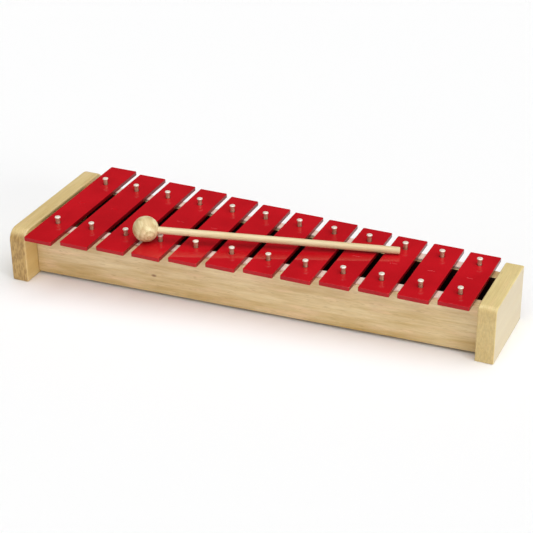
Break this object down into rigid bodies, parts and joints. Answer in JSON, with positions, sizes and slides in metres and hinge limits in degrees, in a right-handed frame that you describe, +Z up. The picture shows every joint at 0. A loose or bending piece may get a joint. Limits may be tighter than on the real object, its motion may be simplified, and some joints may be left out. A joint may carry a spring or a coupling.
{
  "type": "xylophone",
  "caption": "Tapering wooden sound box with end boards, carrying red enamelled tone bars on felt and headed pins, with a ball-ended wooden mallet lying across the bars.",
  "frame": {"origin": "on the floor, under the middle of the instrument, halfway between the end boards and on the row of bars' middle line", "axes": "+X along the instrument from the long low bars to the short high bars, +Y from the player's side to the back, +Z up"},
  "size_m": [0.352, 0.127, 0.0604],
  "materials": {
    "board_wood": "clear satin lacquer on pale hardwood",
    "rail_wood": "clear satin lacquer on pale hardwood",
    "dowel_wood": "bare turned hardwood",
    "floor_board": "dark stained hardboard",
    "felt": "dense pale wool felt",
    "pin_metal": "nickel-plated steel",
    "bar_enamel": "glossy red enamel on steel",
    "mallet_wood": "turned hardwood, thin lacquer",
    "stick_wood": "turned hardwood, thin lacquer"
  },
  "bodies": {
    "frame": {"left_end_board": "board_wood", "right_end_board": "board_wood", "front_rail": "rail_wood", "rear_rail": "rail_wood", "rail_dowels": "dowel_wood", "floor_panel": "floor_board", "front_felt_strip": "felt", "rear_felt_strip": "felt", "front_pins": "pin_metal", "rear_pins": "pin_metal"},
    "bar_01": {"bar_01": "bar_enamel"},
    "bar_02": {"bar_02": "bar_enamel"},
    "bar_03": {"bar_03": "bar_enamel"},
    "bar_04": {"bar_04": "bar_enamel"},
    "bar_05": {"bar_05": "bar_enamel"},
    "bar_06": {"bar_06": "bar_enamel"},
    "bar_07": {"bar_07": "bar_enamel"},
    "bar_08": {"bar_08": "bar_enamel"},
    "bar_09": {"bar_09": "bar_enamel"},
    "bar_10": {"bar_10": "bar_enamel"},
    "bar_11": {"bar_11": "bar_enamel"},
    "bar_12": {"bar_12": "bar_enamel"},
    "mallet": {"mallet_ball": "mallet_wood", "mallet_stick": "stick_wood"}
  },
  "joints": [
    {"name": "bar_01_lift", "type": "slide", "parent": "frame", "child": "bar_01", "axis": [0, 0, 1], "range_m": [0, 0.0037]},
    {"name": "bar_02_lift", "type": "slide", "parent": "frame", "child": "bar_02", "axis": [0, 0, 1], "range_m": [0, 0.0037]},
    {"name": "bar_03_lift", "type": "slide", "parent": "frame", "child": "bar_03", "axis": [0, 0, 1], "range_m": [0, 0.0033]},
    {"name": "bar_04_lift", "type": "slide", "parent": "frame", "child": "bar_04", "axis": [0, 0, 1], "range_m": [0, 0.0037]},
    {"name": "bar_05_lift", "type": "slide", "parent": "frame", "child": "bar_05", "axis": [0, 0, 1], "range_m": [0, 0.0037]},
    {"name": "bar_06_lift", "type": "slide", "parent": "frame", "child": "bar_06", "axis": [0, 0, 1], "range_m": [0, 0.0037]},
    {"name": "bar_07_lift", "type": "slide", "parent": "frame", "child": "bar_07", "axis": [0, 0, 1], "range_m": [0, 0.0028]},
    {"name": "bar_08_lift", "type": "slide", "parent": "frame", "child": "bar_08", "axis": [0, 0, 1], "range_m": [0, 0.0018]},
    {"name": "bar_09_lift", "type": "slide", "parent": "frame", "child": "bar_09", "axis": [0, 0, 1], "range_m": [0, 0.0007]},
    {"name": "bar_10_lift", "type": "slide", "parent": "frame", "child": "bar_10", "axis": [0, 0, 1], "range_m": [0, 0.0002]},
    {"name": "bar_11_lift", "type": "slide", "parent": "frame", "child": "bar_11", "axis": [0, 0, 1], "range_m": [0, 0.0037]},
    {"name": "bar_12_lift", "type": "slide", "parent": "frame", "child": "bar_12", "axis": [0, 0, 1], "range_m": [0, 0.0037]},
    {"name": "mallet_lift", "type": "slide", "parent": "bar_04", "child": "mallet", "axis": [0, 0, 1], "range_m": [0, 0.08]}
  ]
}
